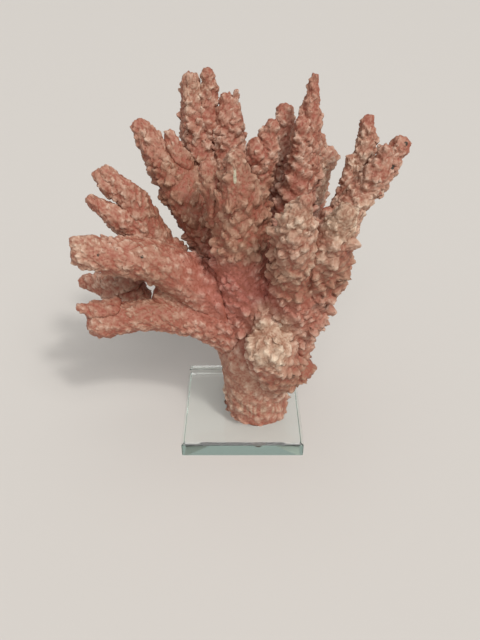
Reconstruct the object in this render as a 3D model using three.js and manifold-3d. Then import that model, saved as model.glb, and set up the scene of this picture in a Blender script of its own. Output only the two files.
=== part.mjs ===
// A pink branching coral, glued by its foot to a clear square glass base.
// Millimetres, +Z up. The origin is the middle of the base's underside, +X is to the viewer's right
// and +Y points away from the viewer.
import * as THREE from 'three';
import { mergeVertices } from 'three/addons/utils/BufferGeometryUtils.js';
import Module from 'manifold-3d';

const wasm = await Module();
wasm.setup();

// Glass base
const BASE_SIDE = 102;
const BASE_HEIGHT = 16;
const BASE_BEVEL = 2;
const GLASS_ROUGHNESS = 0.05;
const GLASS_OPACITY = 0.35;

// Room kept between pieces that touch
const GAP = 0.3;

// Glue under the foot
const GLUE_THICKNESS = 1.1;
const GLUE_SPREAD = 2.2;
const GLUE_POINTS = 20;
const GLUE_ROUGHNESS = 0.15;
const GLUE_OPACITY = 0.5;

// The glue's edge waves in and out. Each wave is [times round, start angle, share of the spread].
const GLUE_WAVES = [[3, 1, 0.4], [5, 0, 0.3]];

// Coral foot, where it stands on the glue
const FOOT_X = 13;
const FOOT_Y = -6;
const FOOT_RADIUS = 27;
const FOOT_Z = BASE_HEIGHT + GAP + GLUE_THICKNESS + GAP;

// Nubs: every second corner of the limb's rings stands out and leans to the tip
const NUB_PITCH = 14.3;
const NUB_HEIGHT = 5;
const NUB_HEIGHT_PER_RADIUS = 0.36;
const NUB_LEAN = 0.35;
const NUB_UNEVENNESS = 0.45;
const FEWEST_SIDES = 6;
const MOST_SIDES = 14;
const CORAL_ROUGHNESS = 0.85;

// How the radius falls over the rounded tip, as shares of the tip's radius
const TIP_RING_REACH = 0.6;
const TIP_RING_RADIUS = 0.75;

// Each limb is one or more shoots, each through hand-placed points [x, y, z, radius], root first.
// A limb that comes later in the list is cut to fit round the limbs before it.
const LIMBS = [
  {
    name: 'coral_stem',
    colour: 0xc98f7c,
    shoots: [
      [[FOOT_X, FOOT_Y, FOOT_Z, FOOT_RADIUS], [11, -6, 45, 28], [8, -5, 88, 28], [3, 0, 124, 21]],
    ],
  },
  {
    name: 'coral_knob_front',
    colour: 0xd8b79c,
    shoots: [
      [[29, -20, 69, 20], [25, -32, 90, 21], [19, -40, 112, 18]],
      [[20, -32, 112, 15], [17, -31, 135, 10]],
      [[34, -24, 73, 17], [47, -28, 82, 13]],
    ],
  },
  {
    name: 'coral_limb_right_main',
    colour: 0xc58473,
    shoots: [
      [[20, -10, 58, 21], [31, -15, 98, 23], [42, -20, 140, 24], [50, -22, 166, 19]],
    ],
  },
  {
    name: 'coral_limb_centre_front',
    colour: 0xc08070,
    shoots: [
      [[2, -6, 118, 22], [0, -14, 165, 22], [-3, -19, 215, 17], [-5, -24, 248, 6]],
      [[-10, -15, 200, 12], [-24, -10, 236, 6]],
    ],
  },
  {
    name: 'coral_limb_left_middle',
    colour: 0xcb9a80,
    shoots: [
      [[-8, -3, 118, 20], [-46, -14, 157, 18], [-66, -21, 173, 14.5], [-88, -28, 180, 14], [-107, -34, 186, 10]],
      [[-90, -30, 184, 9], [-112, -34, 194, 4]],
    ],
  },
  {
    name: 'coral_limb_left_low',
    colour: 0xc9927b,
    shoots: [
      [[-3, -7, 100, 19], [-33, -16, 117, 15], [-70, -22, 126, 13], [-105, -28, 124, 13]],
      [[-95, -26, 132, 8], [-119, -30, 139, 4]],
      [[-8, -5, 110, 16], [-36, -10, 128, 14], [-58, -14, 134, 8]],
    ],
  },
  {
    name: 'coral_limb_left_upper',
    colour: 0xca947d,
    shoots: [
      [[-18, 5, 120, 15], [-49, 8, 146, 12], [-67, 8, 177, 14], [-80, 8, 206, 11], [-95, 8, 226, 6]],
      [[-86, 8, 214, 8], [-101, 8, 225, 4]],
      [[-56, 8, 160, 13], [-83, 2, 190, 11], [-105, -2, 209, 5]],
    ],
  },
  {
    name: 'coral_limb_left_rear',
    colour: 0xa5685a,
    shoots: [
      [[-54, -4, 152, 12], [-75, 2, 156, 9.5], [-94, 14, 134, 12], [-108, 22, 125, 12], [-130, 26, 127, 6]],
    ],
  },
  {
    name: 'coral_limb_inner_left',
    colour: 0xbd7f6c,
    shoots: [
      [[-4, 11, 120, 15], [-22, 20, 163, 15], [-39, 26, 196, 17], [-57, 34, 222, 13], [-74, 38, 248, 6]],
      [[-43, 31, 205, 12], [-50, 36, 234, 7], [-53, 38, 242, 5]],
    ],
  },
  {
    name: 'coral_limb_right_front',
    colour: 0xd3ab92,
    shoots: [
      [[38, -26, 140, 18], [33, -45, 188, 15], [32, -57, 218, 12], [36, -63, 236, 4]],
    ],
  },
  {
    name: 'coral_limb_right_stub',
    colour: 0xcfa189,
    shoots: [
      [[50, -25, 158, 19], [57, -42, 197, 15], [62, -54, 224, 7]],
      [[58, -21, 180, 8], [57, -20, 209, 4]],
    ],
  },
  {
    name: 'coral_limb_right_outer',
    colour: 0xc8907c,
    shoots: [
      [[52, -12, 152, 19], [75, 6, 194, 12], [96, 16, 222, 10], [111, 22, 238, 7]],
      [[91, 13, 214, 9], [98, 12, 240, 5]],
    ],
  },
  {
    name: 'coral_limb_right_upper',
    colour: 0xc08270,
    shoots: [
      [[60, 2, 158, 15], [80, 22, 204, 11], [87, 30, 234, 8], [88, 34, 254, 4]],
      [[79, 23, 206, 7], [77, 26, 230, 3]],
    ],
  },
  {
    name: 'coral_limb_centre_right',
    colour: 0xb87364,
    shoots: [
      [[4, 0, 150, 12], [8, 8, 212, 12], [15, 12, 242, 9], [19, 12, 256, 5]],
      [[11, 9, 228, 8], [8, 8, 246, 5]],
    ],
  },
  {
    name: 'coral_limb_tall',
    colour: 0xbd7c6b,
    shoots: [
      [[22, 12, 124, 16], [41, 30, 204, 14], [46, 34, 247, 9], [49, 38, 281, 3]],
      [[39, 24, 200, 10], [41, 26, 253, 6]],
    ],
  },
  {
    name: 'coral_limb_back_left',
    colour: 0xb97867,
    shoots: [
      [[-4, 18, 124, 18], [-25, 42, 188, 16], [-34, 56, 241, 13], [-38, 60, 274, 7]],
      [[-27, 54, 236, 9], [-25, 58, 265, 7], [-25, 58, 280, 4]],
    ],
  },
  {
    name: 'coral_limb_back_centre',
    colour: 0xb67565,
    shoots: [
      [[0, 20, 130, 16], [-5, 38, 178, 15], [-10, 50, 228, 13], [-11, 54, 261, 7]],
      [[-8, 49, 238, 7], [-5, 52, 269, 2.5]],
    ],
  },
  {
    name: 'coral_limb_back_finger',
    colour: 0xb87163,
    shoots: [
      [[20, 22, 128, 13], [29, 38, 172, 11], [32, 48, 202, 11], [31, 60, 253, 7]],
    ],
  },
  {
    name: 'coral_limb_back_right',
    colour: 0xbe7a6e,
    shoots: [
      [[26, 24, 122, 16], [53, 56, 184, 10], [66, 68, 217, 9]],
      [[55, 57, 190, 9], [59, 66, 232, 5]],
    ],
  },
  {
    name: 'coral_limb_rear_left',
    colour: 0xb27161,
    shoots: [
      [[-8, 18, 112, 16], [-30, 54, 150, 14], [-46, 78, 184, 12], [-54, 92, 212, 6]],
    ],
  },
  {
    name: 'coral_limb_rear_centre',
    colour: 0xae6c5e,
    shoots: [
      [[4, 22, 110, 16], [6, 60, 146, 15], [4, 84, 182, 12], [0, 96, 206, 6]],
    ],
  },
  {
    name: 'coral_limb_rear_right',
    colour: 0xb27062,
    shoots: [
      [[20, 18, 108, 16], [46, 54, 142, 13], [60, 80, 172, 11], [68, 94, 198, 6]],
    ],
  },
  {
    name: 'coral_limb_rear_low',
    colour: 0xb57465,
    shoots: [
      [[8, 12, 84, 16], [2, 46, 102, 13], [-4, 72, 122, 7]],
    ],
  },
];

// A steady number from 0 to 1 for each pair of whole numbers, so that the nubs are uneven in the
// same way every time.
function unevenness(ring, side) {
  const wave = Math.sin(ring * 12.9898 + side * 78.233) * 43758.5453;
  return wave - Math.floor(wave);
}

// An even number of sides, so that nubs and hollows take turns round a ring.
function sidesFor(points) {
  const widest = Math.max(...points.map((point) => point[3]));
  const pairs = Math.round((Math.PI * widest) / NUB_PITCH);
  return THREE.MathUtils.clamp(2 * pairs, FEWEST_SIDES, MOST_SIDES);
}

function smoothCurve(vectors) {
  return new THREE.CatmullRomCurve3(vectors, false, 'catmullrom');
}

// Whether a corner is a nub's top. Tops and hollows alternate like the squares of a chessboard.
function isTop(ring, side) {
  return (ring + side) % 2 === 0;
}

// The corners of a shoot: its root's middle, then its rings one after another, then the tip's point.
// `grow` is added to the radius all over.
function shootCorners(points, rings, sides, grow) {
  const path = smoothCurve(points.map(([x, y, z]) => new THREE.Vector3(x, y, z)));
  const girth = smoothCurve(points.map((point) => new THREE.Vector3(point[3], 0, 0)));
  const frames = path.computeFrenetFrames(rings);
  const corners = [path.getPointAt(0)];

  for (let ring = 0; ring <= rings; ring += 1) {
    const along = ring / rings;
    const middle = path.getPointAt(along);
    const radius = girth.getPoint(path.getUtoTmapping(along)).x;
    const nub = Math.min(NUB_HEIGHT, NUB_HEIGHT_PER_RADIUS * radius);
    for (let side = 0; side < sides; side += 1) {
      const angle = (2 * Math.PI * side) / sides;
      const outward = frames.normals[ring].clone().multiplyScalar(Math.cos(angle));
      outward.addScaledVector(frames.binormals[ring], Math.sin(angle));
      const share = NUB_UNEVENNESS * (unevenness(ring, side) - 0.5);
      const stand = nub * (isTop(ring, side) ? 0.5 + share : share - 0.5);
      const lean = isTop(ring, side) ? NUB_LEAN * nub : 0;
      const corner = middle.clone().addScaledVector(outward, radius + stand + grow);
      corners.push(corner.addScaledVector(frames.tangents[ring], lean));
    }
  }

  const end = path.getPointAt(1);
  const endRadius = points[points.length - 1][3] + grow;
  for (let side = 0; side < sides; side += 1) {
    const angle = (2 * Math.PI * side) / sides;
    const corner = end.clone().addScaledVector(frames.tangents[rings], TIP_RING_REACH * endRadius);
    corner.addScaledVector(frames.normals[rings], TIP_RING_RADIUS * endRadius * Math.cos(angle));
    corner.addScaledVector(frames.binormals[rings], TIP_RING_RADIUS * endRadius * Math.sin(angle));
    corners.push(corner);
  }
  corners.push(end.addScaledVector(frames.tangents[rings], endRadius));
  return corners;
}

// The triangles of a shoot, facing outwards. Each four-cornered face is split between its two
// hollows, so that every nub is a separate peak.
function shootTriangles(rings, sides) {
  const triangles = [];
  const bands = rings + 1;
  const tip = 1 + (bands + 1) * sides;
  const at = (ring, side) => 1 + ring * sides + (side % sides);
  for (let side = 0; side < sides; side += 1) {
    triangles.push(0, at(0, side + 1), at(0, side));
    triangles.push(tip, at(bands, side), at(bands, side + 1));
  }
  for (let ring = 0; ring < bands; ring += 1) {
    for (let side = 0; side < sides; side += 1) {
      const near = [at(ring, side), at(ring, side + 1)];
      const far = [at(ring + 1, side), at(ring + 1, side + 1)];
      if (isTop(ring, side)) {
        triangles.push(near[0], near[1], far[0], near[1], far[1], far[0]);
      } else {
        triangles.push(near[0], near[1], far[1], near[0], far[1], far[0]);
      }
    }
  }
  return triangles;
}

function shootGeometry(points, grow) {
  const length = smoothCurve(points.map(([x, y, z]) => new THREE.Vector3(x, y, z))).getLength();
  const rings = Math.max(2, Math.round(length / NUB_PITCH));
  const sides = sidesFor(points);
  const geometry = new THREE.BufferGeometry().setFromPoints(shootCorners(points, rings, sides, grow));
  geometry.setIndex(shootTriangles(rings, sides));
  return geometry;
}

function toSolid(geometry) {
  const bare = geometry.clone();
  bare.deleteAttribute('normal');
  bare.deleteAttribute('uv');
  const merged = mergeVertices(bare);
  return new wasm.Manifold(new wasm.Mesh({
    numProp: 3,
    vertProperties: new Float32Array(merged.attributes.position.array),
    triVerts: new Uint32Array(merged.index.array),
  }));
}

function toGeometry(solid) {
  const mesh = solid.getMesh();
  const geometry = new THREE.BufferGeometry();
  geometry.setAttribute('position', new THREE.BufferAttribute(mesh.vertProperties, 3));
  geometry.setIndex(new THREE.BufferAttribute(mesh.triVerts, 1));
  geometry.computeVertexNormals();
  return geometry;
}

function joinShoots(shoots, grow) {
  const solids = shoots.map((points) => toSolid(shootGeometry(points, grow)));
  return solids.reduce((joined, solid) => joined.add(solid));
}

// Cutting a limb to fit can leave a crumb behind a neighbour's nub. Only the limb itself is kept.
function largestPiece(solid) {
  const pieces = solid.decompose();
  return pieces.reduce((best, piece) => (piece.volume() > best.volume() ? piece : best));
}

// Everything below the foot's flat underside
function belowFoot() {
  const side = 4 * FOOT_RADIUS;
  const geometry = new THREE.BoxGeometry(side, side, side);
  geometry.translate(FOOT_X, FOOT_Y, FOOT_Z - side / 2);
  return toSolid(geometry);
}

function coralMeshes() {
  const neighbours = [belowFoot()];
  return LIMBS.map(({ name, colour, shoots }) => {
    const fitted = neighbours.reduce((solid, cutter) => solid.subtract(cutter), joinShoots(shoots, 0));
    neighbours.push(joinShoots(shoots, GAP));
    const material = new THREE.MeshStandardMaterial({
      color: colour,
      roughness: CORAL_ROUGHNESS,
      metalness: 0,
    });
    const mesh = new THREE.Mesh(toGeometry(largestPiece(fitted)), material);
    mesh.name = name;
    return mesh;
  });
}

// A square block with every long edge bevelled.
function glassBase() {
  const half = BASE_SIDE / 2 - BASE_BEVEL;
  const square = new THREE.Shape();
  square.moveTo(-half, -half);
  square.lineTo(half, -half);
  square.lineTo(half, half);
  square.lineTo(-half, half);
  square.closePath();
  const geometry = new THREE.ExtrudeGeometry(square, {
    depth: BASE_HEIGHT - 2 * BASE_BEVEL,
    bevelEnabled: true,
    bevelSize: BASE_BEVEL,
    bevelThickness: BASE_BEVEL,
    bevelSegments: 1,
  });
  const material = new THREE.MeshStandardMaterial({
    color: 0xdcebe6,
    roughness: GLASS_ROUGHNESS,
    metalness: 0,
    transparent: true,
    opacity: GLASS_OPACITY,
  });
  const mesh = new THREE.Mesh(geometry, material);
  mesh.position.z = BASE_BEVEL;
  mesh.name = 'glass_base';
  return mesh;
}

// A thin clear puddle of glue that has spread unevenly past the foot.
function gluePad() {
  const outline = [];
  for (let i = 0; i < GLUE_POINTS; i += 1) {
    const angle = (2 * Math.PI * i) / GLUE_POINTS;
    const waves = GLUE_WAVES.map(([times, start, share]) => share * Math.sin(times * angle + start));
    const reach = FOOT_RADIUS + GLUE_SPREAD * (1 + waves[0] + waves[1]);
    outline.push(new THREE.Vector2(reach * Math.cos(angle), reach * Math.sin(angle)));
  }
  const geometry = new THREE.ExtrudeGeometry(new THREE.Shape(outline), {
    depth: GLUE_THICKNESS,
    bevelEnabled: false,
  });
  const material = new THREE.MeshStandardMaterial({
    color: 0xf1f2ec,
    roughness: GLUE_ROUGHNESS,
    metalness: 0,
    transparent: true,
    opacity: GLUE_OPACITY,
  });
  const mesh = new THREE.Mesh(geometry, material);
  mesh.position.set(FOOT_X, FOOT_Y, BASE_HEIGHT + GAP);
  mesh.name = 'glue_pad';
  return mesh;
}

const coralOnBase = new THREE.Group();
coralOnBase.add(glassBase(), gluePad(), ...coralMeshes());

export default coralOnBase;
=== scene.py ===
import itertools
import math

import bpy
import numpy as np
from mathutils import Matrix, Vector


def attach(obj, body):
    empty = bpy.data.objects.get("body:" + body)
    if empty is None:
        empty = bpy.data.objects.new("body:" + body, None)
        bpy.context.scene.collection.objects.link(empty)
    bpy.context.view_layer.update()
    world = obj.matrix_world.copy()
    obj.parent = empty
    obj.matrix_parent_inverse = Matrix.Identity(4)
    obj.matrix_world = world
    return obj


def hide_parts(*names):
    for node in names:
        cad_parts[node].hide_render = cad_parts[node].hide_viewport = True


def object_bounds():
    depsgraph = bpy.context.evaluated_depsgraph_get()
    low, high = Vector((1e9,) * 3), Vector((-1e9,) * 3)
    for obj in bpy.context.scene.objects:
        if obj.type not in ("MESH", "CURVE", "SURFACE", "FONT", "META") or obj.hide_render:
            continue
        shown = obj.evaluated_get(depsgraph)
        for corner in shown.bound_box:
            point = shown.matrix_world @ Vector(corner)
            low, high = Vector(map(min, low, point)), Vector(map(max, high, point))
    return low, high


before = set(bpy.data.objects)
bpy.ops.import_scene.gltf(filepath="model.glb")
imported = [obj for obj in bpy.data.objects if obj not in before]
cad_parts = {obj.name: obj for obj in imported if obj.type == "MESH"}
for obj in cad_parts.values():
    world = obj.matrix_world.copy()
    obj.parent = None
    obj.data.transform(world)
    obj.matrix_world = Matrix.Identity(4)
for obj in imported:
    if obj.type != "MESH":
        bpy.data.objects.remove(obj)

cad_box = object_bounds()


# Camera
# It stands at the photograph's place: in front of the coral and above its tips, looking down at the
# glass base. Its lens gives the photograph's frame.
CAMERA_PLACE = (-0.0021, -0.363, 0.367)
CAMERA_PITCH_DOWN = math.radians(35.73)
CAMERA_LENS = 31.1
CAMERA_SENSOR = 36.0
CAMERA_NEAR = 0.01
CAMERA_FAR = 50.0

camera_data = bpy.data.cameras.new("camera")
camera_data.sensor_width = CAMERA_SENSOR
camera_data.lens = CAMERA_LENS
camera_data.clip_start = CAMERA_NEAR
camera_data.clip_end = CAMERA_FAR
camera = bpy.data.objects.new("camera", camera_data)
camera.location = CAMERA_PLACE
camera.rotation_euler = (math.pi / 2 - CAMERA_PITCH_DOWN, 0, 0)
bpy.context.scene.collection.objects.link(camera)
bpy.context.scene.camera = camera


# Glass base
# One square block of clear glass with a faint green body. It was cast, ground flat, bevelled along
# every edge and polished, and it stands loose on the table.
BLOCK_SIDE = 0.102
BLOCK_HEIGHT = 0.016
BLOCK_BEVEL = 0.002
BLOCK_CORNER = 0.0006
BLOCK_CORNER_STEPS = 6
BLOCK_ARRIS = 0.0003
BLOCK_ARRIS_STEPS = 4
GLASS_IOR = 1.48
GLASS_TINT = (0.40, 0.80, 0.66, 1)
GLASS_DENSITY = 6.0
GLASS_SHARP_ANGLE = math.radians(8)


def add_mesh(name, points, faces):
    """A smooth-shaded mesh object from points (n, 3) and triangles (m, 3)."""
    mesh = bpy.data.meshes.new(name)
    mesh.vertices.add(len(points))
    mesh.vertices.foreach_set("co", points.astype(np.float32).ravel())
    mesh.loops.add(faces.size)
    mesh.loops.foreach_set("vertex_index", faces.astype(np.int32).ravel())
    mesh.polygons.add(len(faces))
    mesh.polygons.foreach_set("loop_start", np.arange(0, faces.size, 3, dtype=np.int32))
    mesh.polygons.foreach_set("use_smooth", np.full(len(faces), True))
    mesh.update(calc_edges=True)
    made = bpy.data.objects.new(name, mesh)
    bpy.context.scene.collection.objects.link(made)
    return made


def closed_rings(rows, columns):
    """The triangles of rows of points that each go once round, closed at both ends by one point:
    the first point of all, then the rows, then the last point."""
    row, column = np.meshgrid(np.arange(rows - 1), np.arange(columns), indexing="ij")
    near = 1 + row * columns + column
    beside = 1 + row * columns + (column + 1) % columns
    lower = np.stack([near, beside, beside + columns], -1).reshape(-1, 3)
    upper = np.stack([near, beside + columns, near + columns], -1).reshape(-1, 3)
    around = np.arange(columns)
    following = (around + 1) % columns
    last = 1 + (rows - 1) * columns
    start = np.stack([np.zeros(columns, int), 1 + following, 1 + around], -1)
    end = np.stack([np.full(columns, last + columns), last + around, last + following], -1)
    return np.concatenate([lower, upper, start, end])


def rounded_profile(corners, cut, steps):
    """The corners of a line, each replaced by the parabola that joins the points `cut` before and
    after it. The first and the last corner stay as they are."""
    corners = np.array(corners, float)
    before, at, after = corners[:-2], corners[1:-1], corners[2:]
    start = at + cut * (before - at) / np.linalg.norm(before - at, axis=1, keepdims=True)
    stop = at + cut * (after - at) / np.linalg.norm(after - at, axis=1, keepdims=True)
    t = np.linspace(0, 1, steps)[None, :, None]
    bends = start[:, None] * (1 - t) ** 2 + 2 * at[:, None] * t * (1 - t) + stop[:, None] * t**2
    return np.vstack([corners[:1], bends.reshape(-1, 2), corners[-1:]])


def square_rings(profile, corner_radius, steps):
    """Each profile point (half side, height) becomes a square ring with round corners: four
    quarter circles whose centres stand one corner radius in from the square's corners."""
    turn = np.arange(4)[:, None] * math.pi / 2 + np.linspace(0, math.pi / 2, steps)[None, :]
    corner = np.arange(4)[:, None] * math.pi / 2 + math.pi / 4 + 0 * turn
    inner = profile[:, 0, None, None] - corner_radius
    x = inner * np.sign(np.cos(corner)) + corner_radius * np.cos(turn)
    y = inner * np.sign(np.sin(corner)) + corner_radius * np.sin(turn)
    z = profile[:, 1, None, None] + 0 * x
    return np.stack([x, y, z], -1).reshape(len(profile), -1, 3)


def glass_material(name, ior, tint, density, roughness):
    """Clear glass: plain transmission, with a body colour that deepens with the way through it."""
    material = bpy.data.materials.new(name)
    material.use_nodes = True
    nodes, links = material.node_tree.nodes, material.node_tree.links
    surface = nodes["Principled BSDF"]
    surface.inputs["Base Color"].default_value = (1, 1, 1, 1)
    surface.inputs["Roughness"].default_value = roughness
    surface.inputs["IOR"].default_value = ior
    surface.inputs["Transmission Weight"].default_value = 1
    body = nodes.new("ShaderNodeVolumeAbsorption")
    body.inputs["Color"].default_value = tint
    body.inputs["Density"].default_value = density
    links.new(body.outputs[0], nodes["Material Output"].inputs["Volume"])
    return material


half_side = BLOCK_SIDE / 2
block_outline = rounded_profile(
    [
        (half_side / 2, 0),
        (half_side - BLOCK_BEVEL, 0),
        (half_side, BLOCK_BEVEL),
        (half_side, BLOCK_HEIGHT - BLOCK_BEVEL),
        (half_side - BLOCK_BEVEL, BLOCK_HEIGHT),
        (half_side / 2, BLOCK_HEIGHT),
    ],
    BLOCK_ARRIS,
    BLOCK_ARRIS_STEPS,
)
block_rings = square_rings(block_outline, BLOCK_CORNER, BLOCK_CORNER_STEPS)
block_points = np.vstack([[[0, 0, 0]], block_rings.reshape(-1, 3), [[0, 0, BLOCK_HEIGHT]]])
block = add_mesh("glass_block", block_points, closed_rings(*block_rings.shape[:2]))
block.data.set_sharp_from_angle(angle=GLASS_SHARP_ANGLE)
block.data.materials.append(
    glass_material("clear_glass", GLASS_IOR, GLASS_TINT, GLASS_DENSITY, roughness=0.0)
)
block.visible_shadow = False
block.visible_diffuse = False
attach(block, "root")
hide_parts("glass_base")


# Glue
# A thin puddle of clear glue between the coral's foot and the block. It was pressed out unevenly
# under the foot and set with a round, glossy rim. It wets the glass at a small spot to the back.
GLUE_MIDDLE = (0.0142, -0.0068)
GLUE_BOTTOM = 0.0163
GLUE_FLAT = 0.95
GLUE_TOUCH = (0.0150, 0.0142, 0.0158)
GLUE_TOP = 0.0174
GLUE_REACH = 0.0236
GLUE_WAVES = [(3, 1.0, 0.0009), (5, 3.1, 0.0007)]
GLUE_RIM = 0.0005
GLUE_RIM_STEPS = 5
GLUE_COLUMNS = 160
GLUE_IOR = 1.46
GLUE_TINT = (0.80, 0.76, 0.60, 1)
GLUE_DENSITY = 20.0
GLUE_ROUGHNESS = 0.08

glue_outline = rounded_profile(
    [
        (GLUE_REACH * GLUE_FLAT, GLUE_BOTTOM),
        (GLUE_REACH, GLUE_BOTTOM),
        (GLUE_REACH, GLUE_TOP),
        (GLUE_REACH / 2, GLUE_TOP),
    ],
    GLUE_RIM,
    GLUE_RIM_STEPS,
)
turn = np.arange(GLUE_COLUMNS) * 2 * math.pi / GLUE_COLUMNS
waves = sum(height * np.sin(times * turn + start) for times, start, height in GLUE_WAVES)
radius = glue_outline[:, :1] * (1 + waves / GLUE_REACH)
glue_rings = np.stack(
    [
        GLUE_MIDDLE[0] + radius * np.cos(turn),
        GLUE_MIDDLE[1] + radius * np.sin(turn),
        glue_outline[:, 1:] + 0 * radius,
    ],
    -1,
)
glue_points = np.vstack([[GLUE_TOUCH], glue_rings.reshape(-1, 3), [[*GLUE_MIDDLE, GLUE_TOP]]])
glue = add_mesh("glue_puddle", glue_points, closed_rings(*glue_rings.shape[:2]))
glue.data.set_sharp_from_angle(angle=GLASS_SHARP_ANGLE)
glue.data.materials.append(
    glass_material("clear_glue", GLUE_IOR, GLUE_TINT, GLUE_DENSITY, GLUE_ROUGHNESS)
)
glue.visible_shadow = False
glue.visible_diffuse = False
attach(glue, "root")
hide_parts("glue_pad")


# Coral stem
# The grown skeleton's trunk: lime, broken off below and ground flat, and set upright in the glue.
# Its skin is packed with warty knobs, and each knob is a crumble of beads and fine grains.

# A point of a shoot is (x, y, z, radius), and a shoot goes from its root to its tip.
STEM_SHOOTS = [
    [
        (0.013, -0.006, 0.0177, 0.027), (0.011, -0.006, 0.045, 0.028),
        (0.008, -0.005, 0.088, 0.028), (0.003, 0.0, 0.124, 0.021),
    ],
]

# How far the skin may reach, and how it is pressed into the glue below the foot's level
SKIN_MARGIN = 0.0002
SKIN_LOW = (cad_box[0][0] + SKIN_MARGIN, cad_box[0][1] + SKIN_MARGIN, 0)
SKIN_HIGH = tuple(edge - SKIN_MARGIN for edge in cad_box[1])
FOOT_LEVEL = 0.0177
FOOT_SINK = 0.0006

# The grid of points that a skin is made on
GRID_STEP = 0.00089
PATH_STEPS = 40
DOME_FINENESS = 1.2
FEWEST_DOME_ROWS = 4
FEWEST_COLUMNS = 16
LEAST_RADIUS = 0.001
ROOT_FLATNESS = 0.5
POINTS_A_BLOCK = 1200

# The web where a shoot leaves the coral, and the painted shade that darkens the crease there
BLEND = 0.0040
BLEND_LIMIT = 0.006
BLEND_ROOT = 0.0025
BLEND_FADE_START = 1.5
BLEND_FADE_END = 3.5
BLEND_ROUNDS = 3
BLEND_DEEPEST = -0.05
SPINE_STEP = 0.003
CREASE_REACH = 0.0016

# The slow swelling of the skin, and its waves in radians to the metre along x, y and z
SWELL = 0.0010
SWELL_SLOW = np.array([70.0, 55.0, 95.0])
SWELL_SLOWER = np.array([-45.0, 80.0, 40.0])
SWELL_QUICK = np.array([230.0, -190.0, 150.0])

# How the knobs and the beads are spread over the skin
GOLDEN_ANGLE = math.pi * (3 - math.sqrt(5))
PACKING = 0.87
PACKING_ROWS_OFF = 0.35
PACKING_TURN_OFF = 0.2
DEEPEST_KNOB = -0.002
KNOB_SCALES = (0.6, 1.45)
KNOB_LEAST_RISE = 0.35
KNOB_RISE_SPREAD = 1.25
KNOB_RISE_POWER = 1.6
CALMING = 0.85

# The knobs: how far apart, wide, high, leaned and sunk they are, and how uneven their outlines
KNOB_PITCH_BASE = 0.0034
KNOB_PITCH_PER_RADIUS = 0.26
KNOB_PITCH_LIMIT = 0.0068
KNOB_WIDTH = 0.52
KNOB_SHARE = 0.76
KNOB_HEIGHT = 0.60
KNOB_HEIGHT_PER_RADIUS = 0.30
KNOB_LEAN = 0.36
KNOB_TILT = 0.32
KNOB_SINK = 0.36
SKIN_LOSS = 0.0003
KNOB_ROUNDNESS = 1.15
KNOB_WARP = 0.0006
WARP_WAVES = 1900
WARP_WANDER = 1300
FULL_KNOB = 0.8

# The beads on the knobs, and the grains on the beads
BEAD_PITCH = 0.0027
BEAD_WIDTH = 0.56
BEAD_SHARE = 0.70
BEAD_HEIGHT = 0.0011
BEAD_LEAN = 0.15
BEAD_TILT = 0.25
BEAD_ROUNDNESS = 1.0
GRAIN_SIZE = 0.0019
GRAIN_HEIGHT = 0.0006
GRAIN_SEED = 3.1
SCATTER_TURNS = np.array([[127.1, 269.5, 113.5], [311.7, 183.3, 271.9], [74.7, 246.1, 124.6]])
SCATTER_SIZE = 43758.5453

# Places on the skin, each (x, y, z, reach, strength)
CALM_PATCHES = [
    (-0.014, -0.030, 0.062, 0.044, 1.05),
    (0.010, -0.036, 0.032, 0.030, 1.0),
    (0.034, -0.020, 0.028, 0.018, 0.6),
    (-0.050, -0.032, 0.165, 0.028, 0.85),
    (-0.086, -0.042, 0.180, 0.026, 0.75),
    (-0.060, -0.036, 0.122, 0.036, 0.85),
    (-0.096, -0.042, 0.124, 0.026, 0.75),
    (-0.060, -0.006, 0.166, 0.024, 0.6),
    (-0.088, -0.006, 0.204, 0.020, 0.6),
    (-0.024, -0.034, 0.142, 0.034, 0.8),
    (0.000, -0.030, 0.160, 0.020, 0.7),
]
# Pale patches: partly the coral's own bleached caps, partly painted light that lifts shaded limbs at
# the back and right
CREAM_AND_LIGHT_PATCHES = [
    (0.031, -0.057, 0.224, 0.017, 1.0),
    (0.062, -0.054, 0.220, 0.016, 1.5),
    (0.045, -0.060, 0.195, 0.034, 0.5),
    (0.018, -0.056, 0.122, 0.024, 1.4),
    (0.014, -0.040, 0.142, 0.010, 0.7),
    (0.082, 0.000, 0.200, 0.034, 0.6),
    (-0.035, 0.050, 0.272, 0.022, 0.5),
    (-0.006, -0.030, 0.246, 0.020, 0.4),
    (-0.110, -0.036, 0.188, 0.022, 0.5),
    (-0.100, 0.004, 0.215, 0.020, 0.4),
    (0.056, 0.056, 0.200, 0.032, 0.75),
    (0.078, 0.024, 0.232, 0.024, 0.6),
    (-0.002, -0.034, 0.060, 0.036, 0.55),
    (-0.072, 0.034, 0.245, 0.018, 0.4),
]
ROSY_PATCHES = [
    (0.004, -0.014, 0.156, 0.052, 1.0),
    (0.030, 0.030, 0.160, 0.050, 0.7),
]
# Browner, darker patches: partly the limbs' own tone, partly painted shade on faces that lie in
# shade, such as the front knob's underside
TAN_AND_SHADE_PATCHES = [
    (-0.002, -0.036, 0.215, 0.036, 1.3),
    (-0.040, 0.012, 0.205, 0.036, 1.1),
    (0.012, -0.004, 0.205, 0.026, 1.1),
    (0.034, -0.046, 0.180, 0.026, 0.95),
    (0.060, -0.044, 0.180, 0.026, 0.85),
    (0.036, -0.038, 0.078, 0.026, 0.95),
    (-0.072, -0.016, 0.152, 0.046, 0.65),
]
# Dark spots: the first three and the last two are dark marks of the skin, the fourth and fifth
# painted shade in the crease under the front knob
DARK_SPOTS = [
    (0.1120, 0.0170, 0.2430, 0.0019, 1.0),
    (0.1039, 0.0098, 0.2293, 0.0019, 1.0),
    (0.1053, 0.0114, 0.2316, 0.0012, 0.9),
    (0.0083, -0.0490, 0.0990, 0.0022, 0.5),
    (0.0099, -0.0501, 0.0940, 0.0022, 0.5),
    (-0.0683, -0.0347, 0.1833, 0.0013, 1.0),
    (-0.0961, -0.0406, 0.1881, 0.0013, 1.0),
]

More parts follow.
